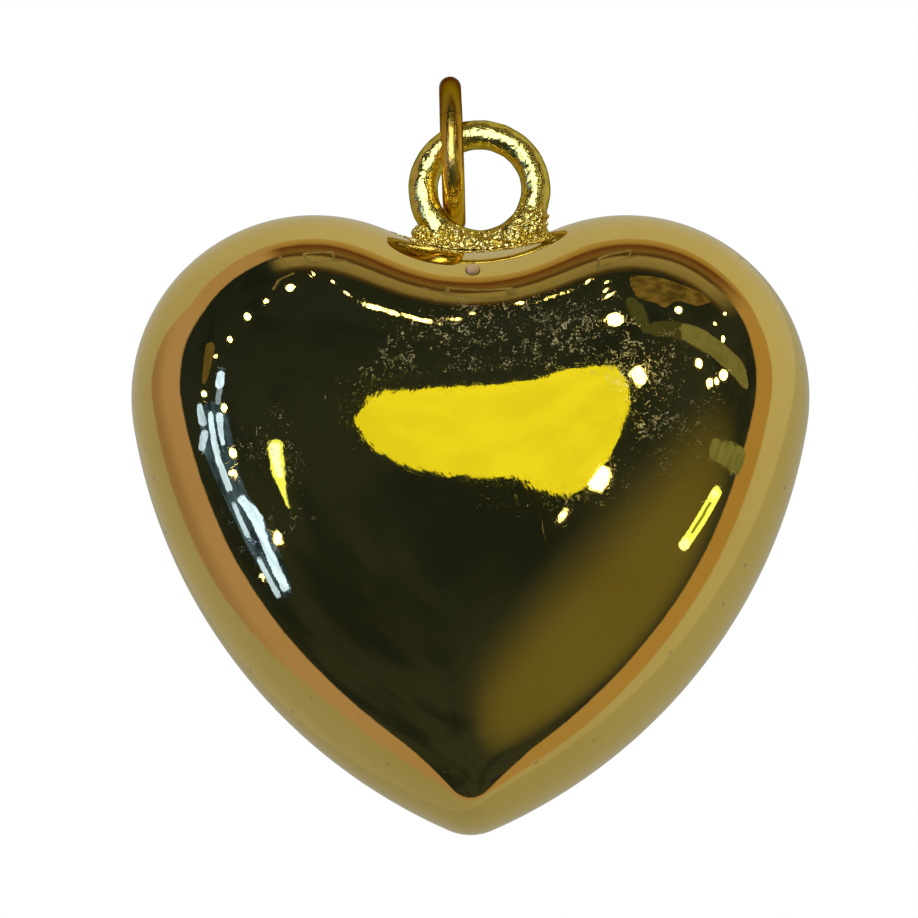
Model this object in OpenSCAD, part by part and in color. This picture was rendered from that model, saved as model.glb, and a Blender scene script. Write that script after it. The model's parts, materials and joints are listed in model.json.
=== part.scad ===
// Puffy heart pendant: two stamped half shells joined at the middle plane, a cast hanging
// loop filed to sit in the dip between the lobes, the solder that holds it, and a split
// jump ring linked through the loop. The origin is the loop's centre: +X right, +Z up, and
// the front shell bulges toward -Y.

/* [Heart outline] */
// Radius of each lobe
lobe_r = 8.1; // [7.7:0.1:8.6]
// Distance between the centres of the two lobes
lobe_spread = 13.8; // [13:0.2:14.6]
// Radius of the long curve down each side
side_r = 24; // [22.5:0.5:28]
// Distance from the line of the lobe centres down to the tip
tip_drop = 19.6; // [18.6:0.2:20.6]
// Radius that rounds the tip
tip_r = 2.4; // [1.8:0.2:3.2]
// Radius of the dip between the lobes
notch_r = 7.5; // [6:0.5:9]

/* [Heart shells] */
// Radius of the rounded edge that runs round the heart where the halves meet
edge_r = 6.2; // [5:0.2:7]
// Height that each half levels off toward at its crown
crown_h = 7; // [6.4:0.2:8]
// Distance from the line of the lobe centres down to the crown
crown_drop = 4.7; // [4:0.1:6]
// Thickness of the stamped sheet
sheet_t = 0.5; // [0.4:0.05:0.8]

/* [Hanging loop] */
// Inner diameter of the loop
loop_id = 3.65; // [3.4:0.05:4.2]
// Thickness of the loop's round wire
loop_wire = 1.35; // [1.1:0.05:1.6]
// Depth filed off the loop's foot to seat it in the dip
foot_cut = 0.25; // [0.1:0.05:0.5]
// Distance that the loop stands to the right of the heart's middle
loop_shift = 0.4; // [0:0.1:0.8]
// Clearance between the filed foot and the shells
seat_gap = 0.02; // [0.01:0.01:0.05]

/* [Solder] */
// Length of the thin bed that the solder wets along the dip
bed_w = 7.2; // [6.6:0.1:7.6]
// Depth of the bed, front to back
bed_d = 2.6; // [2:0.1:3]
// Thickness of the bed
bed_t = 0.16; // [0.08:0.02:0.3]
// Length of the mound that swallows the loop's foot
mound_w = 6.1; // [5.8:0.1:6.4]
// Depth of the mound, front to back
mound_d = 1.9; // [1.6:0.1:2.1]
// Height that the mound climbs above the lowest point of the dip
mound_h = 1.25; // [0.9:0.05:1.5]
// Width of bare wire that the mound leaves round the loop's hole
bare_wire = 0.1; // [0.05:0.05:0.2]

/* [Jump ring] */
// Inner diameter of the jump ring
ring_id = 5; // [4.6:0.1:6]
// Thickness of the jump ring's wire
ring_wire = 1; // [0.8:0.05:1.1]
// Width of the saw cut that closes the ring
ring_cut = 0.06; // [0.03:0.01:0.15]
// Clearance between the ring and the inside of the loop where it passes through
ring_clear = 0.08; // [0.05:0.01:0.2]
// Slack between the ring and the loop's wire that it hangs on
ring_slack = 0.2; // [0.15:0.01:0.4]
// Depth below the loop's centre at which the ring passes through
ring_pass = 0.55; // [0.3:0.05:0.7]
// Lean of the ring's top toward the left
ring_lean = 2; // [0:0.5:5]
// Place of the saw cut, turned from the back of the ring up over its top
cut_turn = 160; // [100:5:200]

/* [Hidden] */

gold = [0.83, 0.66, 0.22];
pale_gold = [0.87, 0.76, 0.42];

// The loop's centreline and the lowest point that it reaches once filed
loop_r = (loop_id + loop_wire) / 2;
notch_z = -(loop_r + loop_wire / 2 - foot_cut);

// Centres of the dip's arc, the lobes and the tip, each tangent to the next
notch_c = [0, notch_z + notch_r];
lobe_x = lobe_spread / 2;
lobe_z = notch_c[1] - sqrt(pow(notch_r + lobe_r, 2) - pow(lobe_x, 2));
lobe_c = [lobe_x, lobe_z];
tip_c = [0, lobe_z - tip_drop + tip_r];

// The side arc holds the lobe and the tip inside it, so its centre lies where two circles cross
side_c = let (
    line = tip_c - lobe_c,
    to_lobe = side_r - lobe_r,
    to_tip = side_r - tip_r,
    along = (pow(to_lobe, 2) - pow(to_tip, 2) + pow(norm(line), 2)) / (2 * norm(line)),
    off = sqrt(pow(to_lobe, 2) - pow(along, 2)),
    unit = line / norm(line)
) lobe_c + along * unit + off * [unit[1], -unit[0]];

// Angles at which one arc hands over to the next on the right half
function angle_of(v) = atan2(v[1], v[0]);
notch_end = angle_of(lobe_c - notch_c);
lobe_start = notch_end + 180;
lobe_end = angle_of(lobe_c - side_c);
side_end = angle_of(tip_c - side_c);

// The outline as arcs, clockwise from the left end of the dip:
// centre, radius, first angle, last angle, points
dip_steps = 12;
lobe_steps = 22;
side_steps = 16;
tip_steps = 6;
function mirrored(c) = [-c[0], c[1]];
arcs = [
    [notch_c, notch_r, -180 - notch_end, notch_end, dip_steps],
    [lobe_c, lobe_r, lobe_start, lobe_end, lobe_steps],
    [side_c, side_r, lobe_end, side_end, side_steps],
    [tip_c, tip_r, side_end, -180 - side_end, tip_steps],
    [mirrored(side_c), side_r, 180 - side_end, 180 - lobe_end, side_steps],
    [mirrored(lobe_c), lobe_r, 180 - lobe_end, 180 - lobe_start, lobe_steps],
];
edge_dirs = [for (a = arcs, i = [0 : a[4] - 1])
    let (t = a[2] + (a[3] - a[2]) * i / a[4]) [cos(t), sin(t)]];
edge_points = [for (a = arcs, i = [0 : a[4] - 1])
    let (t = a[2] + (a[3] - a[2]) * i / a[4]) a[0] + a[1] * [cos(t), sin(t)]];
// The dip curves inward, so its outward direction points at the arc's own centre
edge_out = [for (i = [0 : len(edge_dirs) - 1]) edge_dirs[i] * (i < dip_steps ? -1 : 1)];

// Depth inside the edge, smoothed over the whole outline. The sum adds up the inverse
// square of the distance to every point of every arc, which has this closed form.
function turned(share, angle) =
    atan(share * tan(angle / 2)) + 180 * floor((angle + 180) / 360);
function arc_pull(p, a) = let (
    away = norm(p - a[0]),
    at = angle_of(p - a[0]),
    first = min(a[2], a[3]) - at,
    last = max(a[2], a[3]) - at,
    share = (a[1] + away) / abs(a[1] - away)
) 2 * a[1] / abs(pow(a[1], 2) - pow(away, 2)) * (turned(share, last) - turned(share, first));
function sum(v, i = 0) = i < len(v) ? v[i] + sum(v, i + 1) : 0;
function depth(p) = 180 / sum([for (a = arcs) arc_pull(p, a)]);

// Height of the dome: round at the edge with radius edge_r, then levelling off
function dome(p) = crown_h * sqrt(1 - exp(-2 * edge_r * depth(p) / pow(crown_h, 2)));

// Rings of points from the edge in to the crown, closer together toward the edge
rings = 13;
around = len(edge_points);
crown_c = [0, lobe_z - crown_drop];
function ring_point(i, j) = let (
    share = sin(90 * i / rings),
    edge = edge_points[j % around],
    p = crown_c + share * (edge - crown_c)
) i == rings ? [edge[0], 0, edge[1]] : [p[0], -dome(p), p[1]];
outer = [for (i = [1 : rings]) [for (j = [0 : around - 1]) ring_point(i, j)]];
crown = [crown_c[0], -dome(crown_c), crown_c[1]];

// The sheet's inner face lies sheet_t behind the outer one, square to it
function unit(v) = v / norm(v);
function square_to(i, j) = i == rings - 1
    ? [edge_out[j][0], 0, edge_out[j][1]]
    : unit(cross(
        outer[i][(j + 1) % around] - outer[i][(j + around - 1) % around],
        outer[i + 1][j] - (i == 0 ? crown : outer[i - 1][j])));
inner = [for (i = [0 : rings - 1]) [for (j = [0 : around - 1])
    outer[i][j] - sheet_t * square_to(i, j)]];

// Faces of a domed skin whose point 0 is the crown and whose last ring is the edge
function skin(from, flip) = [for (i = [0 : rings - 1], j = [0 : around - 1])
    let (
        next = (j + 1) % around,
        a = from + 1 + i * around + j,
        b = from + 1 + i * around + next,
        c = i == 0 ? from : a - around,
        d = b - around
    )
    each i == 0
        ? [flip ? [c, b, a] : [c, a, b]]
        : [flip ? [c, b, a] : [c, a, b], flip ? [c, d, b] : [c, b, d]]];
inside = 1 + rings * around;
seam = [for (j = [0 : around - 1])
    let (
        a = 1 + (rings - 1) * around + j,
        b = 1 + (rings - 1) * around + (j + 1) % around
    )
    each [[a, a + inside, b], [b, a + inside, b + inside]]];

// Where the jump ring passes through the loop, and where it hangs on the loop's wire
ring_r = (ring_id + ring_wire) / 2;
pass_x = -sqrt(pow(loop_id / 2 - ring_wire / 2 - ring_clear, 2) - pow(ring_pass, 2));
hang_x = pass_x - (loop_r + ring_pass) * tan(ring_lean);
hang_z = sqrt(pow(loop_r, 2) - pow(hang_x, 2));
// The ring's centre is one ring radius from the first place and a shorter reach from the second
reach = ring_r - (loop_wire + ring_wire) / 2 - ring_slack;
span = hang_z + ring_pass;
rise = span / 2 + (pow(ring_r, 2) - pow(reach, 2)) / (2 * span);
ring_back = sqrt(pow(ring_r, 2) - pow(rise, 2));
ring_c = [pass_x - rise * tan(ring_lean), ring_back, rise - ring_pass];
cut_angle = 2 * asin(ring_cut / (2 * ring_r));

module half_shell() {
    polyhedron(
        points = concat(
            [crown], [for (ring = outer) each ring],
            [crown + [0, sheet_t, 0]], [for (ring = inner) each ring]),
        faces = concat(skin(0, false), skin(inside, true), seam));
}

module front_shell() {
    color(gold) translate([-loop_shift, 0, 0]) half_shell();
}

module back_shell() {
    color(gold) translate([-loop_shift, 0, 0]) mirror([0, 1, 0]) half_shell();
}

// A ring of round wire standing in the XZ plane
module wire_ring(centre_r, wire, turn = 360) {
    rotate([90, 0, 0])
        rotate_extrude(angle = turn, $fn = 96)
            translate([centre_r, 0]) circle(d = wire, $fn = 48);
}

module hanging_loop() {
    color(gold) intersection() {
        wire_ring(loop_r, loop_wire);
        translate([-loop_shift, 0, notch_c[1]])
            rotate([90, 0, 0])
                cylinder(r = notch_r - seat_gap, h = 2 * loop_wire, center = true, $fn = 96);
    }
}

// The rolled edge of both shells along the dip, grown by a skin
module dip_roll(skin) {
    translate([-loop_shift, 0, notch_c[1]])
        wire_ring(notch_r + edge_r, 2 * (edge_r + skin));
}

// An upright pillar whose plan is the pointed lens where two circles overlap
module lens(length, depth, height) {
    plan_r = (pow(length, 2) + pow(depth, 2)) / (4 * depth);
    intersection_for(side = [-1, 1])
        translate([0, side * (plan_r - depth / 2), 0])
            cylinder(r = plan_r, h = height, $fn = 96);
}

// A thin bed wetted along the dip and a mound round the loop's foot, less what they wet
module loop_solder() {
    color(pale_gold) difference() {
        union() {
            intersection() {
                translate([-loop_shift, 0, notch_z - edge_r]) lens(bed_w, bed_d, 2 * edge_r);
                dip_roll(bed_t);
            }
            translate([0, 0, notch_z - loop_wire]) lens(mound_w, mound_d, loop_wire + mound_h);
        }
        wire_ring(loop_r, loop_wire);
        dip_roll(seat_gap);
        rotate([90, 0, 0])
            cylinder(d = loop_id + 2 * bare_wire, h = 2 * mound_d, center = true, $fn = 96);
    }
}

module jump_ring() {
    color(gold) translate(ring_c)
        rotate([0, -ring_lean, 0])
            rotate([0, 0, 90])
                rotate([0, -cut_turn - cut_angle / 2, 0])
                    wire_ring(ring_r, ring_wire, 360 - cut_angle);
}

front_shell();
back_shell();
hanging_loop();
loop_solder();
jump_ring();
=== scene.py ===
# %% [markdown]
# # A puffy heart pendant in gold plate
#
# The real pendant is two thin brass shells, stamped as domes and joined at their edge, with a
# cast loop soldered into the dip of the heart and a split jump ring through the loop. All of it
# is gold plated. The construction model gives the sizes. This lesson dresses it: smooth
# mirror-like shells, wire that is a little uneven, grainy solder, and a studio to reflect.
#
# The frame is loaded first. It holds the construction's own nodes, in metres, with +X to the
# right, +Z up and the front of the heart toward -Y.

# %% Load the frame
import json
from math import asin, atan2, cos, degrees, hypot, pi, radians, sin, sqrt, tan

import bpy
import bmesh
import numpy as np
from mathutils import Matrix, Vector

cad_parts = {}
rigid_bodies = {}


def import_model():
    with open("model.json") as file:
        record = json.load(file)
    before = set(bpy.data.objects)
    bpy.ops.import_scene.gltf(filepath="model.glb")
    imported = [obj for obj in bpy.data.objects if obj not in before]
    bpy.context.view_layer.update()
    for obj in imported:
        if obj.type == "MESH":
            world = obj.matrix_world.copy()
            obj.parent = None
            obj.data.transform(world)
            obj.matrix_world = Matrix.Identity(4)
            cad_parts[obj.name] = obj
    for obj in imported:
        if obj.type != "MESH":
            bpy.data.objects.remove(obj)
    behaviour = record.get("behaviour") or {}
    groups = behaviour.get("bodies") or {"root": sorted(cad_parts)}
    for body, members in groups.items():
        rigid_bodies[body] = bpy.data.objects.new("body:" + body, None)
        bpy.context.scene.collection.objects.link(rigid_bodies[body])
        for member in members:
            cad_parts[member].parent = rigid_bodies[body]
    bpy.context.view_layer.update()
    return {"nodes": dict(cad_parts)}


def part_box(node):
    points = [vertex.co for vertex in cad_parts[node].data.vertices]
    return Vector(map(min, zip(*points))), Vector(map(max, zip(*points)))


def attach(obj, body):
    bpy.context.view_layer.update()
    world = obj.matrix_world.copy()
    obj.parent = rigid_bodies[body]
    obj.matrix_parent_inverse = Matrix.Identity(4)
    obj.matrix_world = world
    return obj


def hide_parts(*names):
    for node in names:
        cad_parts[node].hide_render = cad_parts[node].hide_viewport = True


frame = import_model()
MM = 0.001


# %% [markdown]
# ## Sizes
#
# A pendant is drawn in millimetres, so each piece is modelled in millimetres and shrunk to
# metres when it is finished. The sizes are the ones that the construction was built from.

# %% Sizes in millimetres
# The heart's outline, then its dome and its sheet.
LOBE_R, LOBE_SPREAD, SIDE_R = 8.1, 13.8, 24.0
TIP_DROP, TIP_R, NOTCH_R = 19.6, 2.4, 7.5
EDGE_R, CROWN_H, CROWN_DROP, SHEET_T = 6.2, 7.0, 4.7, 0.5
# The loop, and the bed of solder under it.
LOOP_ID, LOOP_WIRE, FOOT_CUT, LOOP_SHIFT, SEAT_GAP = 3.65, 1.35, 0.25, 0.4, 0.02
BED_W, BED_D, BED_T = 7.2, 2.6, 0.16
# The jump ring. Its lean and the turn of its saw cut are in degrees.
RING_ID, RING_WIRE, RING_LEAN, CUT_TURN = 5.0, 1.0, 2.0, 160.0
RING_C = (-1.20527, 1.61259, 1.97973)
CLOSED_CUT = 0.014

LOOP_R = (LOOP_ID + LOOP_WIRE) / 2
NOTCH_Z = -(LOOP_R + LOOP_WIRE / 2 - FOOT_CUT)
print("the dip's lowest point is at", NOTCH_Z, "mm, measured from the loop's centre")

# %% [markdown]
# ## Helpers for modelling
#
# An operator acts on everything that is selected, and the construction's nodes come in
# selected. So each piece starts from an empty selection. A finished piece is shrunk to metres,
# told which body it rides on, and the construction node that it stands for is hidden.


# %% Helpers for modelling
def pick(*pieces):
    """Selects these pieces alone and makes the last one active."""
    bpy.ops.object.select_all(action="DESELECT")
    for piece in pieces:
        piece.select_set(True)
    bpy.context.view_layer.objects.active = pieces[-1]


def start(name, add, **settings):
    """Adds a primitive with nothing else selected, and names it."""
    bpy.ops.object.select_all(action="DESELECT")
    add(**settings)
    piece = bpy.context.object
    piece.name = piece.data.name = name
    return piece


def edit(piece, *steps):
    """Runs operators in edit mode with all of the piece selected."""
    pick(piece)
    bpy.ops.object.mode_set(mode="EDIT")
    bpy.ops.mesh.select_all(action="SELECT")
    for step in steps:
        step()
    bpy.ops.object.mode_set(mode="OBJECT")


def modify(piece, kind, **settings):
    """Adds a modifier and applies it."""
    modifier = piece.modifiers.new(kind.lower(), kind)
    for key, value in settings.items():
        setattr(modifier, key, value)
    pick(piece)
    bpy.ops.object.modifier_apply(modifier=modifier.name)


def place(piece):
    """Moves the object's own place, turn and scale into its mesh."""
    pick(piece)
    bpy.ops.object.transform_apply(location=True, rotation=True, scale=True)


def outward(piece):
    """Turns a closed piece's faces outward, and measures its volume."""
    shape = bmesh.new()
    shape.from_mesh(piece.data)
    volume = shape.calc_volume(signed=True)
    shape.free()
    if volume < 0:
        edit(piece, bpy.ops.mesh.flip_normals)
    return abs(volume)


def done(piece, body, node=None, smooth=40):
    """Shrinks a piece to metres and ties it to the frame."""
    volume = outward(piece)
    piece.scale = (MM, MM, MM)
    place(piece)
    bpy.ops.object.shade_smooth_by_angle(angle=radians(smooth))
    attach(piece, body)
    if node:
        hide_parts(node)
    print(f"{piece.name}: {len(piece.data.polygons)} faces, {volume:.1f} mm3")
    return piece


# %% [markdown]
# ## The heart's outline
#
# The die that stamps the heart is drawn as circles: one in the dip, one for each lobe, a long
# one down each side and a small one at the tip. Each runs smoothly into the next. The same six
# arcs give the outline here, walked in even steps.

# %% Centres of the arcs
notch_c = (0.0, NOTCH_Z + NOTCH_R)
lobe_c = (LOBE_SPREAD / 2, notch_c[1] - sqrt((NOTCH_R + LOBE_R) ** 2 - (LOBE_SPREAD / 2) ** 2))
tip_c = (0.0, lobe_c[1] - TIP_DROP + TIP_R)
line = (tip_c[0] - lobe_c[0], tip_c[1] - lobe_c[1])
far = hypot(*line)
along = ((SIDE_R - LOBE_R) ** 2 - (SIDE_R - TIP_R) ** 2 + far**2) / (2 * far)
off = sqrt((SIDE_R - LOBE_R) ** 2 - along**2)
side_c = (
    lobe_c[0] + (along * line[0] + off * line[1]) / far,
    lobe_c[1] + (along * line[1] - off * line[0]) / far,
)
print("lobes", [round(c, 2) for c in lobe_c], "tip", round(tip_c[1] - TIP_R, 2))


# %% The outline as six arcs
def angle_between(start_point, end_point):
    return degrees(atan2(end_point[1] - start_point[1], end_point[0] - start_point[0]))


notch_end = angle_between(notch_c, lobe_c)
lobe_end = angle_between(side_c, lobe_c)
side_end = angle_between(side_c, tip_c)
# Each arc has its centre, its radius, and the angles where it begins and ends.
arcs = [
    (notch_c, NOTCH_R, -180 - notch_end, notch_end),
    (lobe_c, LOBE_R, notch_end + 180, lobe_end),
    (side_c, SIDE_R, lobe_end, side_end),
    (tip_c, TIP_R, side_end, -180 - side_end),
    ((-side_c[0], side_c[1]), SIDE_R, 180 - side_end, 180 - lobe_end),
    ((-lobe_c[0], lobe_c[1]), LOBE_R, 180 - lobe_end, -notch_end),
]


def outline(count):
    """Points at even distances along the arcs."""
    lengths = np.array([radius * radians(abs(last - first)) for _, radius, first, last in arcs])
    ends = np.concatenate([[0], np.cumsum(lengths)])
    points = []
    for walked in np.arange(count) / count * ends[-1]:
        i = min(int(np.searchsorted(ends, walked, side="right")) - 1, len(arcs) - 1)
        (x, z), radius, first, last = arcs[i]
        turn = radians(first + (last - first) * (walked - ends[i]) / lengths[i])
        points.append((x + radius * cos(turn), z + radius * sin(turn)))
    return points


print("the outline starts at", [round(c, 2) for c in outline(1)[0]])

# %% [markdown]
# ## The dome
#
# A mirror shows every kink, so the dome needs one smooth rule for its height. The depth inside
# the outline is a sum over all of the arcs, with no creases where the nearest arc changes. The
# height then starts as a round edge and levels off toward the crown.

# %% Height of the dome
NEVER_ZERO = 1e-9


def dome_height(x, z):
    """Height over the points x, z, in the heart's own millimetres."""
    pull = 0
    for (cx, cz), radius, first, last in arcs:
        away = np.hypot(x - cx, z - cz) + NEVER_ZERO
        at = np.degrees(np.arctan2(z - cz, x - cx))
        share = (radius + away) / np.abs(radius - away)

        def turned(angle):
            """The pull of the arc, summed up to this angle."""
            part = np.degrees(np.arctan(share * np.tan(np.radians(angle) / 2)))
            return part + 180 * np.floor((angle + 180) / 360)

        sweep = turned(max(first, last) - at) - turned(min(first, last) - at)
        pull = pull + 2 * radius / np.abs(radius**2 - away**2) * np.radians(sweep)
    depth = pi / pull
    return CROWN_H * np.sqrt(1 - np.exp(-2 * EDGE_R * depth / CROWN_H**2))


crown = (0.0, lobe_c[1] - CROWN_DROP)
print("crown height", round(float(dome_height(*np.array(crown))), 3), "mm")

# %% [markdown]
# ## The two shells
#
# The front shell starts as a circle whose points are set on the outline. Its edge is extruded
# and shrunk toward the crown ring by ring, closer together near the edge where the sheet turns
# fastest, and the flat net is then lifted by the dome's rule. Solidify gives the sheet its
# thickness, and the back shell is a mirrored copy with its own mesh.

# %% Net of the front shell
AROUND, RINGS = 288, 64
shell = start(
    "front_skin", bpy.ops.mesh.primitive_circle_add, vertices=AROUND, radius=LOBE_R
)
for vertex, (x, z) in zip(shell.data.vertices, outline(AROUND)):
    vertex.co = (x, 0, z)


def shrink_rings():
    share = 1.0
    for ring in range(RINGS - 1, 0, -1):
        smaller = sin(pi / 2 * ring / RINGS)
        bpy.ops.mesh.extrude_edges_move()
        bpy.ops.transform.resize(
            value=(smaller / share,) * 3, center_override=(crown[0], 0, crown[1])
        )
        share = smaller
    bpy.ops.mesh.extrude_edges_move()
    bpy.ops.mesh.merge(type="CENTER")


edit(shell, shrink_rings)
print("the net has", len(shell.data.vertices), "points")

# %% Front and back shell
net = np.array([vertex.co[:] for vertex in shell.data.vertices])
heights = dome_height(net[:, 0], net[:, 2])
for vertex, (x, _, z), height in zip(shell.data.vertices, net, heights):
    vertex.co = (x - LOOP_SHIFT, -height, z)
for vertex in list(shell.data.vertices)[:AROUND]:
    vertex.co.y = 0
edit(shell, bpy.ops.mesh.normals_make_consistent)
TO_THE_FRONT, TURNED_BACK = Vector((0, -1, 0)), -0.01
if shell.data.polygons[0].normal.dot(TO_THE_FRONT) < TURNED_BACK:
    edit(shell, bpy.ops.mesh.flip_normals)
modify(shell, "SOLIDIFY", thickness=SHEET_T, offset=-1, use_quality_normals=True)

pick(shell)
bpy.ops.object.duplicate()
back = bpy.context.object
back.name = back.data.name = "back_skin"
back.scale = (1, -1, 1)
place(back)
SHELL_SMOOTH = 60
front_skin = done(shell, "heart", "front_shell", smooth=SHELL_SMOOTH)
back_skin = done(back, "heart", "back_shell", smooth=SHELL_SMOOTH)

# %% [markdown]
# ## The hanging loop
#
# The loop is round wire bent to a ring, so a circle is spun round the loop's axis. Its foot is
# filed to the curve of the dip. Cast and plated wire is never quite true, so a Displace
# modifier with a cloud texture sinks its surface unevenly by a few hundredths of a millimetre.

# %% Hanging loop
WELD = 1e-4


def clouds(name, size, depth=2):
    texture = bpy.data.textures.new(name, "CLOUDS")
    texture.noise_scale = size
    texture.noise_depth = depth
    return texture


def spun_wire(name, radius, wire, turn, steps, sides=48):
    """Round wire bent round the Y axis, from +X toward +Z."""
    piece = start(
        name,
        bpy.ops.mesh.primitive_circle_add,
        vertices=sides,
        radius=wire / 2,
        location=(radius, 0, 0),
    )
    closed = turn >= 2 * pi

    def bend():
        if not closed:
            bpy.ops.mesh.edge_face_add()
        bpy.ops.mesh.spin(steps=steps, angle=turn, center=(0, 0, 0), axis=(0, 1, 0))

    edit(piece, bend)
    place(piece)
    if closed:
        edit(piece, lambda: bpy.ops.mesh.remove_doubles(threshold=WELD))
    edit(piece, bpy.ops.mesh.normals_make_consistent)
    return piece


loop = spun_wire("loop_wire", LOOP_R, LOOP_WIRE, 2 * pi, 200)
seat_r = NOTCH_R - SEAT_GAP
for vertex in loop.data.vertices:
    out = Vector((vertex.co.x + LOOP_SHIFT, 0, vertex.co.z - notch_c[1]))
    if out.length > seat_r:
        seat = out.normalized() * seat_r
        vertex.co.x, vertex.co.z = seat.x - LOOP_SHIFT, seat.z + notch_c[1]
modify(loop, "DISPLACE", texture=clouds("uneven wire", 0.7), strength=0.06, mid_level=0.8)
loop_wire = done(loop, "heart", "hanging_loop")

# %% [markdown]
# ## The jump ring
#
# The ring is thinner wire wound on a rod and cut, so it is a spin that stops short by the width
# of the saw cut, with a face on each end. On the real ring the ends are pressed together, and
# the cut is a hair that shows as a small tick. It is turned to hang as the photograph shows it.

# %% Jump ring
ring_r = (RING_ID + RING_WIRE) / 2
cut_angle = degrees(2 * asin(CLOSED_CUT / (2 * ring_r)))
ring = spun_wire("split_ring", ring_r, RING_WIRE, radians(360 - cut_angle), 240, sides=40)
ring.matrix_world = (
    Matrix.Translation(RING_C)
    @ Matrix.Rotation(radians(-RING_LEAN), 4, "Y")
    @ Matrix.Rotation(radians(90), 4, "Z")
    @ Matrix.Rotation(radians(-CUT_TURN - cut_angle / 2), 4, "Y")
)
place(ring)
modify(ring, "DISPLACE", texture=clouds("drawn wire", 1.6), strength=0.02, mid_level=1.0)
split_ring = done(ring, "jump_ring", "jump_ring")
node_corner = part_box("jump_ring")[0]
miss = (Vector(split_ring.bound_box[0]) - node_corner).length / MM
print("the ring's corner is off the node's by", round(miss, 3), "mm")

# %% [markdown]
# ## The solder
#
# Solder runs along the dip as a thin bed with two pointed ends, heaps up round the loop's foot
# and creeps up its wire, higher on the right. Plating over it leaves a coarse, sparkling
# grain. The bed, the heap and the sleeve round the wire are separate forms that a voxel remesh
# melts into one, and clouds then roughen all but the bed.

# %% Bed of the solder
BLUNT = 0.004


def dip_surface(x, y):
    """Height of the rolled edge in the dip, in the pendant's millimetres."""
    roll = NOTCH_R + EDGE_R - sqrt(EDGE_R**2 - y * y)
    return notch_c[1] - sqrt(roll**2 - (x + LOOP_SHIFT) ** 2)


bed = start(
    "solder_heap", bpy.ops.mesh.primitive_grid_add, x_subdivisions=96, y_subdivisions=40, size=2
)
for vertex in bed.data.vertices:
    u, v = vertex.co.x, vertex.co.y
    x = u * BED_W / 2
    y = v * BED_D / 2 * (1 - u * u + BLUNT)
    vertex.co = (x - LOOP_SHIFT, y, dip_surface(x - LOOP_SHIFT, y) + BED_T)
modify(bed, "SOLIDIFY", thickness=BED_T - SEAT_GAP, offset=-1)
outward(bed)
print("bed is", [round(side, 2) for side in bed.dimensions], "mm")

# %% Heap and sleeve
# Each lump of solder has its middle, its half sizes and how finely it is divided.
LUMPS = {
    "heap": ((0, 0, -2.75), (3.05, 0.9, 0.75), 64),
    "web_right": ((2.5, 0, -1.75), (0.52, 0.62, 0.85), 48),
    "web_left": ((-2.52, 0, -2.1), (0.5, 0.6, 0.5), 48),
}
SLEEVE_WALL, SLEEVE_OUT = 0.05, 0.09
SLEEVE_FROM, SLEEVE_TO = -20, -134
lumps = []
for name, (middle, half_sizes, segments) in LUMPS.items():
    lump = start(
        name,
        bpy.ops.mesh.primitive_uv_sphere_add,
        segments=segments,
        ring_count=segments // 2,
        location=middle,
    )
    lump.scale = half_sizes
    lumps.append(lump)
sleeve = start(
    "sleeve",
    bpy.ops.mesh.primitive_circle_add,
    vertices=40,
    radius=LOOP_WIRE / 2 + SLEEVE_WALL,
    location=(LOOP_R + SLEEVE_OUT, 0, 0),
)


def wrap():
    sweep = radians(SLEEVE_TO - SLEEVE_FROM)
    bpy.ops.mesh.edge_face_add()
    bpy.ops.transform.rotate(
        value=radians(SLEEVE_FROM), orient_axis="Y", center_override=(0, 0, 0)
    )
    bpy.ops.mesh.spin(steps=60, angle=sweep, center=(0, 0, 0), axis=(0, 1, 0))


edit(sleeve, wrap)
lumps.append(sleeve)
for lump in lumps:
    place(lump)
    edit(lump, bpy.ops.mesh.normals_make_consistent)
    print(f"{lump.name}: {outward(lump):.2f} mm3")

# %% Melt them together and roughen
VOXEL = 0.04
# The grain starts near the top of the bed, and fades out toward the loop's hole.
GRAIN_FLOOR, GRAIN_RISE = 0.8 * BED_T, 0.12
HOLE_MARGIN, HOLE_FADE = 0.05, 0.15
BED_REACH = 2
pick(*lumps, bed)
bpy.ops.object.join()
modify(bed, "REMESH", mode="VOXEL", voxel_size=VOXEL)
modify(bed, "SMOOTH", factor=0.5, iterations=3)
grain = bed.vertex_groups.new(name="grain")
for vertex in bed.data.vertices:
    x, y, z = vertex.co
    above = z - dip_surface(x, max(-BED_REACH, min(BED_REACH, y))) - GRAIN_FLOOR
    inside = (hypot(x, z) - LOOP_ID / 2 - HOLE_MARGIN) / HOLE_FADE
    grain.add([vertex.index], max(0, min(1, above / GRAIN_RISE, inside)), "REPLACE")
modify(
    bed,
    "DISPLACE",
    texture=clouds("grain", 0.17, 1),
    strength=0.2,
    mid_level=0.55,
    vertex_group="grain",
)
solder = done(bed, "heart", "loop_solder", smooth=180)

# %% [markdown]
# ## The vent plug
#
# A hollow plated heart needs a small vent, so that hot gas can leave while it is soldered. It
# is plugged afterwards, and the plug shows as a small round mark just in front of the dip. It
# is a slightly flattened ball, sunk halfway and turned to lie along the shell.

# %% Vent plug
VENT_X, VENT_Z, VENT_R, VENT_FLAT = -0.3, -4.62, 0.33, 0.75
SLOPE_STEP = 1e-3


def dome_slopes(x, z):
    """How fast the dome's height grows along x and along z."""
    rise_x = dome_height(x + SLOPE_STEP, z) - dome_height(x - SLOPE_STEP, z)
    rise_z = dome_height(x, z + SLOPE_STEP) - dome_height(x, z - SLOPE_STEP)
    return rise_x / (2 * SLOPE_STEP), rise_z / (2 * SLOPE_STEP)


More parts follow.
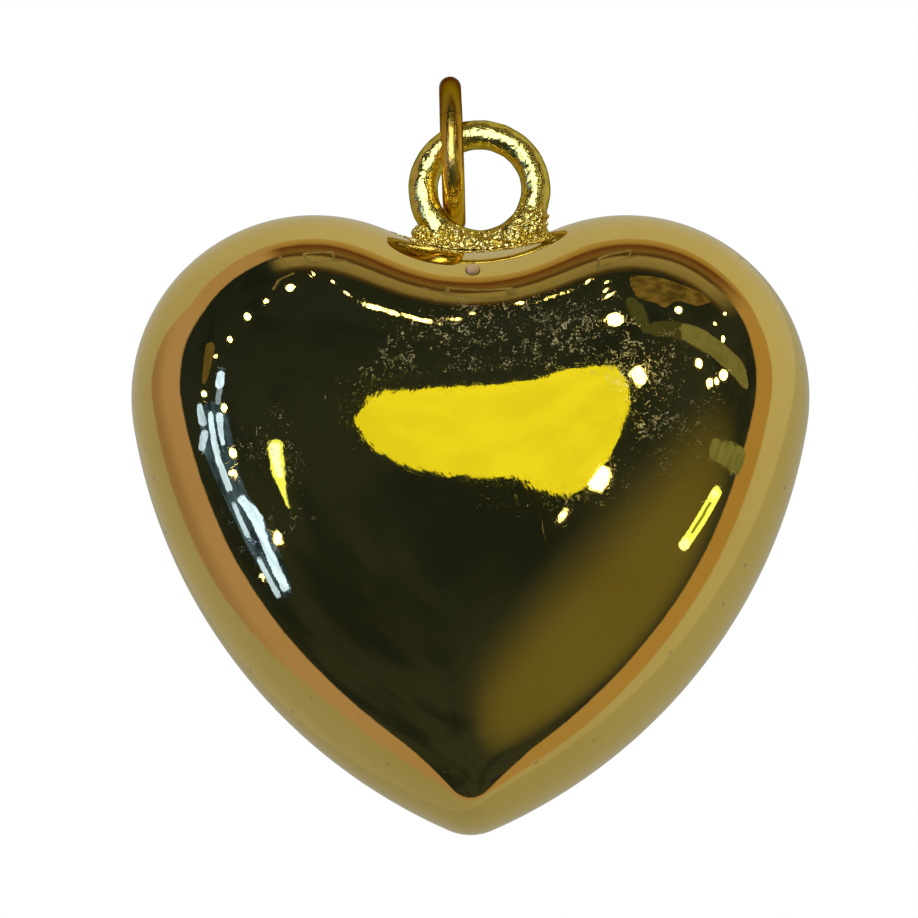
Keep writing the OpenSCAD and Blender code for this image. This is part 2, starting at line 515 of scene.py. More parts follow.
vent_at = (VENT_X + LOOP_SHIFT, VENT_Z)
slope_x, slope_z = (float(slope) for slope in dome_slopes(*vent_at))
vent_faces = Vector((-slope_x, -1, -slope_z)).normalized()
plug = start(
    "vent_plug",
    bpy.ops.mesh.primitive_uv_sphere_add,
    segments=48,
    ring_count=24,
    radius=VENT_R,
)
plug.scale = (1, 1, VENT_FLAT)
plug.rotation_euler = vent_faces.to_track_quat("Z", "Y").to_euler()
plug.location = (VENT_X, -float(dome_height(*vent_at)), VENT_Z)
place(plug)
vent_plug = done(plug, "heart")

# %% [markdown]
# ## Writing a material in Python
#
# A material is a graph of nodes. Here a small class wraps a socket, so that sums on sockets
# read like sums on numbers, and each one adds a Math node. Every other node comes from one
# method, which takes the node's kind, its settings and what its sockets hold.


# %% Sockets and graphs
class Socket:
    """One output of a node."""

    def __init__(self, graph, socket):
        self.graph, self.socket = graph, socket

    def __add__(self, other):
        return self.graph.math("ADD", self, other)

    def __sub__(self, other):
        return self.graph.math("SUBTRACT", self, other)

    def __mul__(self, other):
        return self.graph.math("MULTIPLY", self, other)

    def __truediv__(self, other):
        return self.graph.math("DIVIDE", self, other)

    def __pow__(self, other):
        return self.graph.math("POWER", self, other)

    def __rsub__(self, other):
        return self.graph.math("SUBTRACT", other, self)

    def __rtruediv__(self, other):
        return self.graph.math("DIVIDE", other, self)

    __radd__ = __add__
    __rmul__ = __mul__

    def between(self, low, high):
        """0 below low and 1 above high, with a smooth ramp between them."""
        return self.graph.node(
            "ShaderNodeMapRange",
            {"clamp": True, "interpolation_type": "SMOOTHSTEP"},
            {"Value": self, "From Min": low, "From Max": high},
        )


class Graph:
    """The nodes of one material, lamp or world."""

    def __init__(self, tree):
        self.tree = tree
        tree.nodes.clear()

    def node(self, kind, settings=None, inputs=None, output=0):
        """Adds a node, sets it up and gives back one of its outputs."""
        node = self.tree.nodes.new(kind)
        for key, value in (settings or {}).items():
            if key == "stops":
                ramp = node.color_ramp
                while len(ramp.elements) < len(value):
                    ramp.elements.new(0.5)
                for element, (position, colour) in zip(ramp.elements, value):
                    element.position, element.color = position, (*colour, 1)
            else:
                setattr(node, key, value)
        for key, value in (inputs or {}).items():
            if isinstance(value, Socket):
                self.tree.links.new(value.socket, node.inputs[key])
            else:
                node.inputs[key].default_value = value
        return Socket(self, node.outputs[output]) if node.outputs else node

    def math(self, operation, *values):
        return self.node("ShaderNodeMath", {"operation": operation}, dict(enumerate(values)))

    def point_mm(self):
        """The point on the surface, in millimetres."""
        point = self.node("ShaderNodeTexCoord", output="Object")
        return self.node(
            "ShaderNodeVectorMath", {"operation": "SCALE"}, {0: point, "Scale": 1 / MM}
        )

    def mapped(self, point, turn=(0, 0, 0), size=(1, 1, 1)):
        return self.node(
            "ShaderNodeMapping", {}, {"Vector": point, "Rotation": turn, "Scale": size}
        )

    def noise(self, point, scale, detail=2.0):
        inputs = {"Vector": point, "Scale": scale, "Detail": detail}
        return self.node("ShaderNodeTexNoise", {}, inputs)

    def cells(self, point, scale):
        """How far the nearest of many scattered spots is."""
        return self.node("ShaderNodeTexVoronoi", {}, {"Vector": point, "Scale": scale})

    def blend(self, factor, first, second):
        """Mixes two colours."""
        first, second = (c if isinstance(c, Socket) else (*c, 1) for c in (first, second))
        inputs = {0: factor, 6: first, 7: second}
        return self.node("ShaderNodeMix", {"data_type": "RGBA"}, inputs, 2)

    def facing(self, way, toward):
        """How nearly a direction points toward another one."""
        return self.node(
            "ShaderNodeVectorMath", {"operation": "DOT_PRODUCT"}, {0: way, 1: toward}, "Value"
        )

    def parts(self, point):
        split = self.node("ShaderNodeSeparateXYZ", {}, {0: point}).socket.node
        return [Socket(self, output) for output in split.outputs]

    def bump(self, height, depth_mm):
        return self.node(
            "ShaderNodeBump", {}, {"Height": height, "Distance": depth_mm * MM, "Strength": 1.0}
        )


# %% A metal
def metal(name, finish):
    """A metal whose varying inputs come from finish, a function of the graph."""
    material = bpy.data.materials.new(name)
    material.use_nodes = True
    graph = Graph(material.node_tree)
    shader = graph.node("ShaderNodeBsdfPrincipled", {}, {"Metallic": 1.0} | finish(graph))
    graph.node("ShaderNodeOutputMaterial", {}, {"Surface": shader})
    print(name, "has", len(material.node_tree.nodes), "nodes")
    return material


# %% [markdown]
# ## Polished gold plate
#
# The shells are polished to a mirror before plating, and a mirror is only as good as its last
# scratch. Polishing leaves a fur of fine dashes and a few hairlines, which tilt the surface by
# a fraction of a degree and only fray the edges of what it reflects. Specks and curls are
# little scuffs that are paler and duller than the plate. They lie thickest round the crown and
# in a patch near the left edge, and the flattest part of the face is almost free of them. Pits
# sit on the rolled edge, where it was handled.

# %% Colours, places and depths of the wear
PLATE_GOLD, PLATE_DEEP, PLATE_EDGE = (0.84, 0.63, 0.165), (0.80, 0.585, 0.14), (0.82, 0.63, 0.2)
SCUFFED, PITTED = (0.85, 0.84, 0.62), (0.30, 0.22, 0.08)
# Ovals on the face, each with its middle and its half sizes in millimetres.
CROWN_WEAR = ((2.5, -10.5), (8.5, 5.5))
SIDE_WEAR = ((-9.4, -14.5), (2.2, 4.5))
FLAT_FACE = ((0.6, -12.4), (6.3, 2.9))
# The dashes' directions in degrees.
FUR_TURNS, HAIRLINE_TURNS, CURL_TURNS = (-25, 10, 40), (12, 67, 118), (50, -40)
DASH_LENGTH = 12
# Heights and depths in millimetres.
SWELL_H, RIPPLE_H, HAIRLINE_H, FUR_H = 0.0026, 0.0003, 0.0001, 0.00022
SPECK_H, CURL_H, PIT_DEPTH = 0.0010, 0.0003, 0.012
MOST_DULL = 0.7


def oval(x, z, middle, half_sizes, power=2):
    """Less than 1 inside an oval and more outside it."""
    return ((x - middle[0]) / half_sizes[0]) ** power + ((z - middle[1]) / half_sizes[1]) ** power


def dashes(graph, point, turn, fine, deep):
    """Noise drawn out one way over the face of the heart."""
    turned = graph.mapped(point, turn=(0, radians(turn), 0))
    stretched = graph.mapped(turned, size=(fine, fine / DASH_LENGTH, deep))
    return graph.noise(stretched, 1.0, detail=1.0)


print("a pit is", round(PIT_DEPTH / SPECK_H), "times as deep as a speck is high")


# %% Gold plate
def wear(graph, point, x, z):
    """0 where the plate is fresh, and about 1 where it is worn most."""
    by_crown = 1.1 - oval(x, z, *CROWN_WEAR).between(0.4, 1.7)
    by_side = 0.9 - oval(x, z, *SIDE_WEAR).between(0.2, 1.7) * 0.9
    patchy = graph.noise(point, 0.5).between(0.25, 0.55) * 0.45 + 0.55
    return graph.math("MAXIMUM", by_crown, by_side) * patchy


def scuffs(graph, point, x, z):
    """Masks for the specks and for the curls."""
    swirl = graph.node("ShaderNodeTexNoise", {}, {"Vector": point, "Scale": 5.0}, "Color")
    swirled = graph.node("ShaderNodeVectorMath", {"operation": "ADD"}, {0: point, 1: swirl})
    sparse = (1 - wear(graph, point, x, z)) * 0.2
    kept = oval(x, z, *FLAT_FACE, power=4).between(0.7, 1.1) * 0.9 + 0.1
    specks = (1 - (graph.cells(swirled, 3.2) + sparse).between(0.05, 0.16)) * kept
    curls = sum(
        (dashes(graph, swirled, turn, 10.0, 2.6) - sparse).between(0.68, 0.73)
        for turn in CURL_TURNS
    )
    return specks, curls * kept


def gold_plate(graph):
    point = graph.point_mm()
    x, y, z = graph.parts(point)
    edge = 1 - graph.math("ABSOLUTE", y).between(1.5, 5.0)
    fur = sum(dashes(graph, point, turn, 8.0, 2.6) for turn in FUR_TURNS)
    hairlines = sum(
        dashes(graph, point, turn, 15.0, 0.3).between(0.74, 0.80) for turn in HAIRLINE_TURNS
    )
    specks, curls = scuffs(graph, point, x, z)
    pits = (1 - graph.cells(point, 0.75).between(0.05, 0.11)) * edge
    dull = graph.math("MINIMUM", specks * 0.6 + curls * 0.5 + pits * 0.3, MOST_DULL)
    cloud = graph.noise(point, 0.25, detail=3.0).between(0.35, 0.7)
    colour = graph.blend(cloud, PLATE_GOLD, PLATE_DEEP)
    colour = graph.blend(edge * 0.5, colour, PLATE_EDGE)
    colour = graph.blend(dull, colour, SCUFFED)
    colour = graph.blend(pits * 0.6, colour, PITTED)
    height = graph.noise(point, 1.1, detail=1.0) * SWELL_H + graph.noise(point, 5.0) * RIPPLE_H
    height = height + hairlines * HAIRLINE_H + fur * FUR_H
    height = height + specks * SPECK_H + curls * CURL_H - pits * PIT_DEPTH
    return {
        "Base Color": colour,
        "Metallic": 1 - dull,
        "Roughness": 0.022 + edge * 0.05 + hairlines * 0.04 + dull * 0.3,
        "Normal": graph.bump(height, 1.0),
    }


plate = metal("polished gold plate", gold_plate)
for piece in (front_skin, back_skin):
    piece.data.materials.append(plate)

# %% [markdown]
# ## Plated wire, solder and plug
#
# The loop's casting is satiny under the plate, with shallow hammer-like facets. The drawn
# wire of the ring is smoother, with fine lines along it from the die, and its colour holds
# painted shade toward the top and a painted highlight low down. Both are given a dark Specular
# Tint, which is the colour that a metal mirrors at a glancing angle, so that the wire has a dark
# outline. The solder is a field of grains, each a little mirror at its own angle. The plug is
# dull metal, with painted shade as a dark ring round its edge.


# %% Plated wire
def cast_wire(graph):
    bright, deep, glancing = (0.77, 0.63, 0.11), (0.70, 0.58, 0.12), (0.28, 0.25, 0.08, 1)
    point = graph.point_mm()
    facets = graph.noise(point, 1.6)
    pits = graph.noise(point, 4.0)
    return {
        "Base Color": graph.blend(facets.between(0.35, 0.65), bright, deep),
        "Roughness": 0.13 + pits * 0.12,
        "Specular Tint": glancing,
        "Normal": graph.bump(facets + pits * 0.3, 0.12),
    }


def drawn_wire(graph):
    bright, deep, glancing = (0.78, 0.48, 0.06), (0.60, 0.36, 0.04), (0.30, 0.17, 0.04, 1)
    # A painted highlight for the lower part of the ring, and painted shade for its top.
    lower, painted_shade_top = (0.92, 0.63, 0.10), (0.38, 0.24, 0.025)
    point = graph.point_mm()
    _, _, z = graph.parts(point)
    cloud = graph.noise(point, 1.1)
    lines = graph.noise(graph.mapped(point, size=(18.0, 2.0, 2.0)), 1.0, detail=1.0)
    colour = graph.blend(cloud.between(0.3, 0.7), bright, deep)
    # Painted highlight: brighter orange toward the bottom of the ring.
    colour = graph.blend((2.5 - z).between(0.0, 2.3), colour, lower)
    return {
        # Painted shade: darker toward the top of the ring.
        "Base Color": graph.blend(z.between(2.0, 3.8), colour, painted_shade_top),
        "Roughness": 0.14 + cloud * 0.14,
        "Specular Tint": glancing,
        "Normal": graph.bump(cloud + lines * 0.2, 0.05),
    }


# %% Solder and plug
def grainy_solder(graph):
    deep, bright = (0.80, 0.60, 0.07), (0.85, 0.69, 0.16)
    point = graph.point_mm()
    grains = graph.cells(point, 3.4)
    fine = graph.noise(point, 6.5)
    return {
        "Base Color": graph.blend(fine.between(0.35, 0.65), deep, bright),
        "Roughness": 0.12 + fine * 0.14,
        "Normal": graph.bump(grains + fine * 0.5, 0.16),
    }


def plug_metal(graph):
    # The third colour is painted shade, for a dark ring round the plug's edge.
    pale, tan_brown, painted_shade_rim = (0.95, 0.68, 0.36), (0.85, 0.60, 0.30), (0.12, 0.07, 0.02)
    point = graph.point_mm()
    x, _, z = graph.parts(point)
    from_middle = ((x - VENT_X) ** 2 + (z - VENT_Z) ** 2) ** 0.5
    cloud = graph.noise(point, 5.0)
    colour = graph.blend(cloud, pale, tan_brown)
    return {
        # Painted shade: a dark ring round the plug's edge, where it meets the shell.
        "Base Color": graph.blend(from_middle.between(0.24, 0.32), colour, painted_shade_rim),
        "Metallic": 0.3,
        "Roughness": 0.42 + cloud * 0.2,
        "Normal": graph.bump(cloud, 0.01),
    }


# %% Put the finishes on
for piece, name, finish in (
    (loop_wire, "plated cast wire", cast_wire),
    (split_ring, "plated drawn wire", drawn_wire),
    (solder, "plated grainy solder", grainy_solder),
    (vent_plug, "plug metal", plug_metal),
):
    piece.data.materials.append(metal(name, finish))
for node in frame["nodes"].values():
    node.data.materials.clear()
    node.data.materials.append(plate)

# %% [markdown]
# ## The camera
#
# The photograph was taken from a little below the pendant's middle, 12 degrees under square
# on, and from far enough away that a long lens gives the same shape. The camera comes before the
# lamps, because they are placed by what it sees.

# %% Camera
LENS, SENSOR, FIELD_MM, TILT, PHOTO_SIDE = 500.0, 36.0, 40.576, radians(12.0), 918
DISTANCE = FIELD_MM * LENS / SENSOR
looking = Vector((0, cos(TILT), sin(TILT)))
target = Vector((-0.906, 0, -12.22))
eye = target - looking * DISTANCE
camera_data = bpy.data.cameras.new("camera")
camera_data.lens, camera_data.sensor_width = LENS, SENSOR
camera_data.clip_end = 10
camera = bpy.data.objects.new("camera", camera_data)
bpy.context.scene.collection.objects.link(camera)
camera.location = eye * MM
camera.rotation_mode = "QUATERNION"
camera.rotation_quaternion = looking.to_track_quat("-Z", "Y")
bpy.context.scene.camera = camera
print("camera is", round(DISTANCE), "mm away")

# %% [markdown]
# ## The room
#
# Polished gold has almost no look of its own: it shows what stands round it. So the pendant
# hangs in a large ball that glows softly: pale behind it, with a warm band round the middle,
# and dark in front. The camera doesn't see the ball. For the camera, and wherever metal sees
# past the ball, the background is plain white.

# %% Tones of the room
ROOM_R = 1.5
PALE_DIM, PALE_BRIGHT, PALE_SHADE = (0.36, 0.355, 0.33), (0.56, 0.55, 0.5), (0.26, 0.27, 0.2)
BAND_LEFT, BAND_RIGHT, BAND_LOW = (0.45, 0.32, 0.33), (0.44, 0.30, 0.15), (0.24, 0.16, 0.10)
DARK_HIGH, DARK_LOW = (0.014, 0.022, 0.036), (0.038, 0.045, 0.050)
DARK_SPOT, OLIVE = (0.008, 0.013, 0.020), (0.155, 0.142, 0.06)
SHADE_WAY, OLIVE_WAY = (0.35, 0.85, -0.38), (0.50, -0.80, -0.34)
# Stripes overhead, from the back of the room to the front.
STRIPES = (
    (0.00, (0.50, 0.49, 0.42)),
    (0.03, (0.50, 0.39, 0.25)),
    (0.15, (0.36, 0.25, 0.12)),
    (0.20, (0.13, 0.05, 0.02)),
    (0.30, (0.20, 0.13, 0.07)),
    (0.37, (0.07, 0.04, 0.02)),
    (0.41, (0.30, 0.27, 0.20)),
    (0.53, (0.24, 0.21, 0.15)),
    (0.58, (0.07, 0.05, 0.03)),
    (0.62, (0.018, 0.024, 0.03)),
)
# The degrees that all of the stripes span, and the share of them behind the middle plane.
STRIPES_SPAN, STRIPES_START = 60, 0.03
print("the room is", 2 * ROOM_R, "m across, with", len(STRIPES), "stripes overhead")


# %% The room
def glow(name, colour_of):
    """A material that gives off the light that colour_of says."""
    material = bpy.data.materials.new(name)
    material.use_nodes = True
    graph = Graph(material.node_tree)
    colour, strength = colour_of(graph)
    shader = graph.node("ShaderNodeEmission", {}, {"Color": colour, "Strength": strength})
    graph.node("ShaderNodeOutputMaterial", {}, {"Surface": shader})
    return material


def darkness(graph, way, x, z):
    """The front of the room, with a patch of dim olive low on the right."""
    tone = graph.blend(z * 0.5 - x * 0.3 + 0.45, DARK_LOW, DARK_HIGH)
    mottle = graph.noise(way, 3.5, detail=3.0).between(0.42, 0.68)
    tone = graph.blend(mottle * 0.65, tone, DARK_SPOT)
    return graph.blend(graph.facing(way, OLIVE_WAY).between(0.84, 0.985), tone, OLIVE)


def room_light(graph):
    """Pale, band and dark, by how many degrees a direction points toward the front."""
    point = graph.node("ShaderNodeTexCoord", output="Object")
    way = graph.node("ShaderNodeVectorMath", {"operation": "NORMALIZE"}, {0: point})
    x, y, z = graph.parts(way)
    wander = graph.noise(way, 2.5) * 4 - 2
    toward = graph.math("ARCSINE", 0 - y) * degrees(1) + wander
    flat = (x * x + z * z) ** 0.5 + 0.0001
    sideways, upward = x / flat, z / flat
    side = sideways * sideways
    pale_end = side * 8 - (1 - side) * (2.5 - upward * 3.5)
    above = toward - pale_end
    left = (0 - sideways).between(0.72, 1.0)
    below = (0 - upward).between(0.80, 0.97)

    pale = graph.blend((x + z) * 0.35 + 0.5, PALE_DIM, PALE_BRIGHT)
    shade = graph.facing(way, SHADE_WAY).between(0.62, 0.66)
    pale = graph.blend(shade * 0.35, pale, PALE_SHADE)
    band = graph.blend(sideways * 0.5 + 0.5, BAND_LEFT, BAND_RIGHT)
    low_left = left * (1 - toward.between(-12.0, 6.0)) * 0.55
    band = graph.blend(low_left, band, BAND_LOW)
    sides = graph.blend((above + left * 27).between(-1.0, 1.5), pale, band)
    into_dark = (above + below * 14 + left * 5).between(17.0, 19.0)
    sides = graph.blend(into_dark, sides, darkness(graph, way, x, z))

    stripes = graph.node(
        "ShaderNodeValToRGB", {"stops": STRIPES}, {"Fac": toward / STRIPES_SPAN + STRIPES_START}
    )
    top = upward.between(0.62, 0.85) * sideways.between(-0.34, -0.2) * above.between(-1.0, 0.0)
    top = top * (1 - toward.between(36.0, 46.0))
    return graph.blend(top, sides, stripes), 1.0


room = start(
    "room", bpy.ops.mesh.primitive_uv_sphere_add, segments=64, ring_count=32, radius=ROOM_R
)
bpy.ops.object.shade_smooth()
room.data.materials.append(glow("room light", room_light))
room.visible_camera = False
room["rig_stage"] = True
print("the room's light has", len(room.active_material.node_tree.nodes), "nodes")

# %% [markdown]
# ## Lamps
#
# In a mirror a lamp isn't seen where it stands, but where its reflection falls. So each lamp is
# given by the place and width of its reflection, in pixels of the photograph, and the mirror law
# says where it has to hang: the view ray is traced to the dome, turned back by the surface there
# and followed out into the room. All of the lamps are glowing cards on one large ball.

# %% From a reflection to a lamp
PIXEL = FIELD_MM / PHOTO_SIDE
LAMP_AWAY = 1.2
HALVINGS = 80


def mirror_way(across, down):
    """The directions in which the front shell looks, at points of the photograph."""
    middle = PHOTO_SIDE / 2
    ray = np.outer(np.ones_like(across), looking * DISTANCE)
    ray += np.outer((across - middle) * PIXEL, (1, 0, 0))
    ray += np.outer((middle - down) * PIXEL, (0, -sin(TILT), cos(TILT)))
    ray /= np.linalg.norm(ray, axis=1, keepdims=True)
    y = np.zeros_like(across)
    for _ in range(HALVINGS):
        x, _, z = (np.array(eye) + ray * ((y - eye.y) / ray[:, 1])[:, None]).T
        y = (y - dome_height(x + LOOP_SHIFT, z)) / 2
    slope_x, slope_z = dome_slopes(x + LOOP_SHIFT, z)
    normal = np.stack([-slope_x, -np.ones_like(z), -slope_z], axis=1)
    normal /= np.linalg.norm(normal, axis=1, keepdims=True)
    return ray - 2 * (ray * normal).sum(axis=1, keepdims=True) * normal


way_back = mirror_way(np.array([PHOTO_SIDE / 2]), np.array([PHOTO_SIDE / 2]))[0]
print("the middle of the photograph reflects", [round(float(c), 2) for c in way_back])


# %% A lamp
def lamp(name, pixels, colour, strength, mottle=0.0, away=LAMP_AWAY):
    """A glowing card whose reflection fills an outline of the photograph."""
    across, down = np.array(pixels, float).T
    card = start(
        name,
        bpy.ops.mesh.primitive_circle_add,
        vertices=len(pixels),
        radius=1,
        fill_type="NGON",
    )
    for vertex, way in zip(card.data.vertices, mirror_way(across, down)):
        vertex.co = Vector(way) * away

    def light(graph):
        point = graph.node("ShaderNodeTexCoord", output="Object")
        cloud = graph.noise(point, 14.0, detail=3.0)
        shade = tuple(c * (1 - mottle) for c in colour)
        return graph.blend(cloud.between(0.3, 0.7), shade, colour), strength

    card.data.materials.append(glow(name + " light", light))
    card.visible_camera = False
    card.visible_shadow = False
    card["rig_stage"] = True
    return card


# %% Outlines of lamps
def stroke(start_at, end_at, wide, end_wide=None):
    """Outline of a stroke with round ends."""
    (x1, y1), (x2, y2) = start_at, end_at
    turn = atan2(y2 - y1, x2 - x1)
    half_turn = np.linspace(0.5 * pi, 1.5 * pi, 12) + turn
    half, end_half = wide / 2, (end_wide or wide) / 2
    first = [(x1 + half * cos(a), y1 + half * sin(a)) for a in half_turn]
    return first + [(x2 - end_half * cos(a), y2 - end_half * sin(a)) for a in half_turn]


def spot(x, y, wide, tall):
    """Outline of a round or oval spot."""
    turns = np.linspace(0, 2 * pi, 20, False)
    return [(x + wide / 2 * cos(a), y + tall / 2 * sin(a)) for a in turns]


def rounded(corners, steps=5):
    """Outline with its corners rounded."""
    points = []
    for i, corner in enumerate(corners):
        before, after = corners[i - 1], corners[(i + 1) % len(corners)]
        for share in np.linspace(0, 1, steps, endpoint=False):
            a = [(1 - share) * (b + c) / 2 + share * c for b, c in zip(before, corner)]
            b = [(1 - share) * c + share * (c + d) / 2 for c, d in zip(corner, after)]
            points.append([(1 - share) * p + share * q for p, q in zip(a, b)])
    return points


print("a round spot is a card of", len(spot(0, 0, 1, 1)), "corners")

# %% [markdown]
# ## The large panel and the dim cards
#
# Polished gold is short of blue: its mirror turns white light yellow. A lamp that shows white in
# it, such as the cool strips at the left, is in truth several times stronger in blue. The large
# panel is the other way round: it is short of blue itself, and shows a strong yellow. The dim
# cards and the thin lines keep the dark from being empty.

# %% The large panel
PANEL_YELLOW, CREAM, DAYLIGHT = (1.0, 1.06, 0.07), (1.0, 0.98, 0.85), (0.15, 0.255, 1.0)
panel_corners = (
    (355, 420), (375, 394), (426, 392), (480, 388), (536, 384), (560, 373), (603, 366),
    (620, 372), (631, 391), (629, 416), (618, 447), (604, 472), (585, 496), (560, 508),
    (534, 498), (517, 484), (490, 487), (454, 486), (421, 479), (393, 467), (370, 454),
    (357, 436),
)
panel = lamp("ceiling_panel", rounded(panel_corners), PANEL_YELLOW, 1.05, mottle=0.12)
print("the panel's card has", len(panel.data.vertices), "corners")

# %% Dim cards and thin lines
# Each card has its colour, how mottled it is, and its corners in the photograph.
dim_cards = {
    "shelf_beam": ((0.21, 0.23, 0.16), 0.2, (
        (683, 323), (702, 330), (722, 343), (736, 356), (746, 367), (750, 398), (731, 375),
        (712, 357), (691, 346), (679, 340), (676, 330))),
    "beam_root": ((0.075, 0.085, 0.06), 0.2, (
        (653, 323), (670, 322), (684, 323), (690, 334), (688, 345), (672, 338), (653, 338),
        (651, 330))),
    "beam_foot": ((0.075, 0.09, 0.06), 0.2, (
        (627, 296), (640, 300), (652, 322), (652, 338), (640, 330), (630, 312))),
    "goods": ((0.21, 0.16, 0.08), 0.65, (
        (627, 276), (650, 276), (672, 281), (700, 292), (715, 302), (705, 305), (698, 308),
        (676, 300), (666, 311), (660, 303), (638, 301))),
    "post": ((0.15, 0.12, 0.07), 0.3, (
        (205, 343), (215, 345), (212, 362), (206, 387), (201, 387), (203, 362))),
    "box": ((0.23, 0.27, 0.16), 0.3, (
        (710, 441), (720, 443), (729, 447), (747, 450), (739, 479), (731, 477), (716, 466),
        (706, 468))),
}
for name, (colour, mottle, corners) in dim_cards.items():
    lamp(name, rounded(corners), colour, 1.0, mottle)
LINE_W, LINE_TONE = 2, (0.30, 0.27, 0.22)
thin_lines = (
    ((279, 257), (285, 266)), ((285, 266), (298, 264.5)), ((303, 254), (308, 264)),
    ((308, 264), (345, 261)), ((303, 254), (331, 252)), ((331, 252), (333, 261)),
    ((272, 290), (277, 281)), ((277, 281), (291, 274)),
)
for number, (start_at, end_at) in enumerate(thin_lines):
    lamp(f"frame_line_{number}", stroke(start_at, end_at, LINE_W), LINE_TONE, 1.0, mottle=0.5)
print(len(dim_cards), "dim cards and", len(thin_lines), "thin lines")

# %% [markdown]
# ## Spots, strips and tubes
#
# Small bright lamps make gold sparkle. A spot is an oval with its middle and its two widths, and
# a strip or a tube is a stroke between two points with its widths at both ends. Near the dip the
# dome folds what it reflects and shows a lamp up to three times, so the row there needs few.

# %% Spots
SPOT_GLOW = 8
spots = (
    (595, 485, 26, 26), (639.5, 379, 17, 21), (616, 320.5, 19, 14), (583, 452, 7, 7),
    (561, 525, 7, 8), (264.5, 302, 5, 4), (246, 318, 7, 8), (680, 311, 7, 7),
    (700, 365, 6, 9), (724, 377, 8, 10), (710, 386, 6, 9), (717, 384, 5, 7),
    (724, 341, 3, 6), (716, 325, 3, 3), (726, 315, 3, 3), (288.5, 288.5, 9, 7),
    (229, 341, 5, 6), (215, 359, 4, 3), (204, 396, 5, 5), (224, 411, 6, 7),
    (234, 458, 7, 7), (234.5, 479, 8, 9), (280, 544.5, 9, 11), (265, 582, 4, 5),
)
row_spots = ((565, 293, 5, 3), (519, 304, 7, 3), (472, 314, 6, 2.4), (455, 320, 9, 2.8))
for number, shape in enumerate(spots + row_spots):
    lamp(f"spot_{number}", spot(*shape), CREAM, SPOT_GLOW)
row_tube = ((405, 316), (430, 323), 3.5)
lamp("ceiling_tube", stroke(*row_tube), CREAM, SPOT_GLOW)
print(len(spots), "spots, and", len(row_spots), "more in the row under the dip")

# %% Cool strips at the left
STRIP_GAIN = 1.25
# Each strip has its two ends, its width at each, and its strength.
strips = (
    ((220, 376), (219, 386), 8, 9, 6.0), ((219, 393), (218, 406), 6, 5, 2.0),
    ((200, 409), (203, 426), 5, 8, 4.0), ((210.5, 417), (216, 450), 5, 6, 6.0),
    ((216, 450), (220, 466), 6, 6, 5.0), ((220, 419), (223.5, 448), 7, 4, 5.5),
    ((205, 438), (203, 452), 8, 7, 4.0), ((221, 468), (231, 494), 6, 6, 4.5),
    ((236, 510), (250, 541), 4, 5, 4.0), ((243, 504), (259, 524), 9, 12, 6.0),
    ((259, 524), (266, 545), 12, 8, 6.0), ((266, 545), (288, 593), 8, 9, 6.0),
    ((262, 565), (281, 600), 5, 5, 4.0),
)
for number, (*shape, strength) in enumerate(strips):
    lamp(f"window_{number}", stroke(*shape), DAYLIGHT, STRIP_GAIN * strength, mottle=0.35)
glow_corners = (
    (199, 404), (227, 406), (234, 450), (243, 492), (266, 522), (299, 596), (284, 606),
    (256, 566), (228, 506), (203, 458),
)
GLOW_BLUE = (0.07, 0.15, 0.55)
BEHIND, BEFORE = 1.02 * LAMP_AWAY, 0.98 * LAMP_AWAY
lamp("window_glow", rounded(glow_corners), GLOW_BLUE, 1.0, mottle=0.8, away=BEHIND)
print(len(strips), "cool strips, and a dim glow behind them")

# %% Tubes
TUBE_YELLOW, TUBE_MIDDLE, CORE_BLUE = (0.79, 1.0, 0.42), (0.27, 0.36, 0.05), (0.4, 0.55, 1.0)
TUBE_GLOW, END_GLOW, DESK_GLOW, CORE_GLOW = 1.75, 3, 1.5, 3.3
# Two ends and a width, or two widths where the tube narrows.
side_tube = ((715, 497), (682, 550), 10.5)
side_middle = ((709, 507), (689, 539), 2.5)
side_ends = ((713, 499, 8, 8), (682, 550, 10, 10))
desk_high = ((276.5, 453), (280, 481), 17, 11)
desk_core = ((276, 454), (279, 479), 11, 5)
desk_low = ((280, 481), (290.5, 514), 11, 2)
lamp("side_tube", stroke(*side_tube), TUBE_YELLOW, TUBE_GLOW)
lamp("side_tube_middle", stroke(*side_middle), TUBE_MIDDLE, 1.0, away=BEFORE)
for number, shape in enumerate(side_ends):
    lamp(f"side_tube_end_{number}", spot(*shape), CREAM, END_GLOW, away=BEFORE)
lamp("desk_lamp_high", stroke(*desk_high), TUBE_YELLOW, DESK_GLOW)
lamp("desk_lamp_core", stroke(*desk_core), CORE_BLUE, CORE_GLOW, away=BEFORE)
lamp("desk_lamp_low", stroke(*desk_low), TUBE_YELLOW, DESK_GLOW)
studio = [thing for thing in bpy.data.objects if thing.get("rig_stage")]
print(len(studio), "things in the studio")

# %% [markdown]
# ## Two soft lamps
#
# Two soft lamps finish the studio. One lights the scuffs and anything else that isn't a
# mirror, and polished gold doesn't show it. The other is for the wires and the solder alone:
# light linking names the pieces that it shines on.

# %% Soft lamps
SOFT_AWAY = 0.8


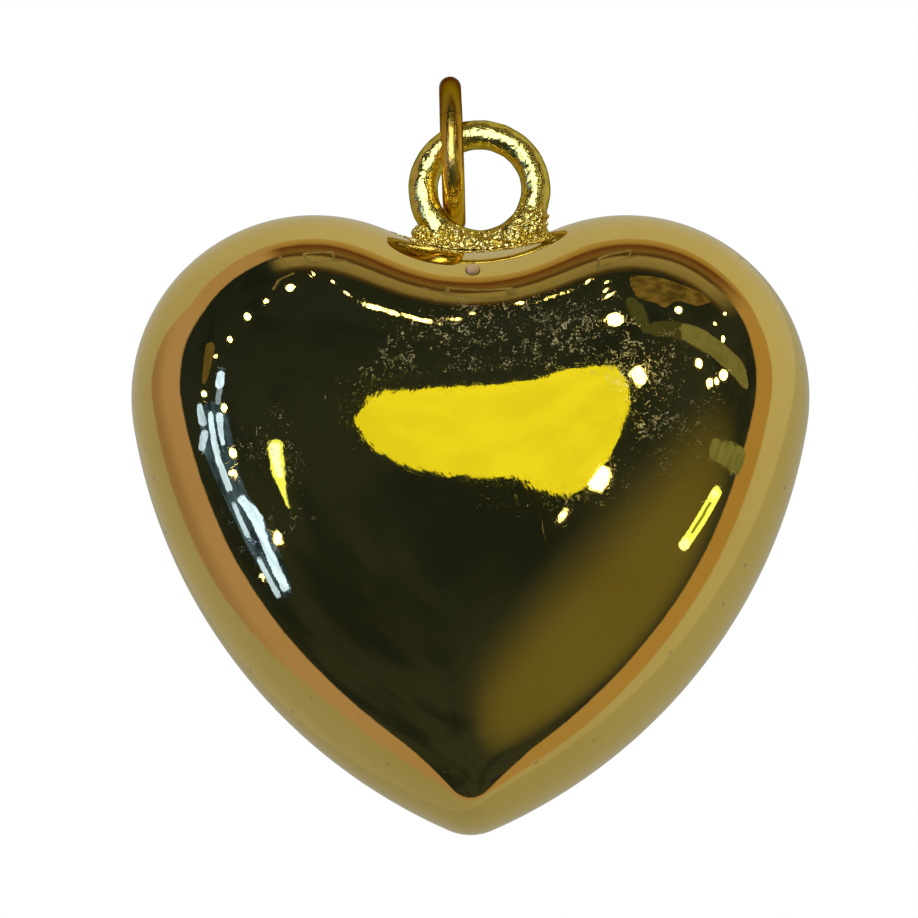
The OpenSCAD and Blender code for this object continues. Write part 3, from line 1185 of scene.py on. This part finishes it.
def soft_lamp(name, right, up, wide, tall, radiance, colour):
    """A lamp at these degrees right and up, as wide and tall as these degrees look."""
    data = bpy.data.lights.new(name, "AREA")
    data.shape, data.color = "RECTANGLE", colour
    data.size, data.size_y = (2 * SOFT_AWAY * tan(radians(size / 2)) for size in (wide, tall))
    data.energy = radiance * pi * data.size * data.size_y
    light = bpy.data.objects.new(name, data)
    bpy.context.scene.collection.objects.link(light)
    right, up = radians(right), radians(up)
    way = Vector((sin(right) * cos(up), -cos(right) * cos(up), sin(up)))
    light.location = way * SOFT_AWAY
    light.rotation_euler = way.to_track_quat("Z", "Y").to_euler()
    light.visible_camera = False
    return light


WARM_WHITE, BENCH_BLUE = (1, 0.98, 0.92), (0.45, 0.5, 1.0)
key = soft_lamp("soft_key", -20, 40, 60, 60, 1.0, WARM_WHITE)
key.visible_glossy = False
bench = soft_lamp("bench_lamp", -12, 6, 44, 48, 6.0, BENCH_BLUE)
wires = bpy.data.collections.new("wires")
for piece in (loop_wire, split_ring, solder):
    wires.objects.link(piece)
bench.light_linking.receiver_collection = wires

# %% [markdown]
# ## World and view
#
# Outside the ball everything is white. Camera, glossy and transmission rays see it at full
# strength, and what little else gets there sees it dimmer. The Standard view shows colours as
# they are written.

# %% World and view
DIM_WHITE = 0.4
world = bpy.data.worlds.new("white surround")
bpy.context.scene.world = world
world.use_nodes = True
surround = Graph(world.node_tree)
rays = surround.node("ShaderNodeLightPath").socket.node
kinds = ("Is Camera Ray", "Is Glossy Ray", "Is Transmission Ray")
seen = sum(Socket(surround, rays.outputs[kind]) for kind in kinds)
strength = DIM_WHITE + seen.between(0, 1) * (1 - DIM_WHITE)
background = surround.node(
    "ShaderNodeBackground", {}, {"Color": (1, 1, 1, 1), "Strength": strength}
)
surround.node("ShaderNodeOutputWorld", {}, {"Surface": background})
bpy.context.scene.view_settings.view_transform = "Standard"
print("the view is", bpy.context.scene.view_settings.view_transform)

# %% [markdown]
# ## Finish
#
# Last, the view layer is updated.

# %% Update the view layer
bpy.context.view_layer.update()
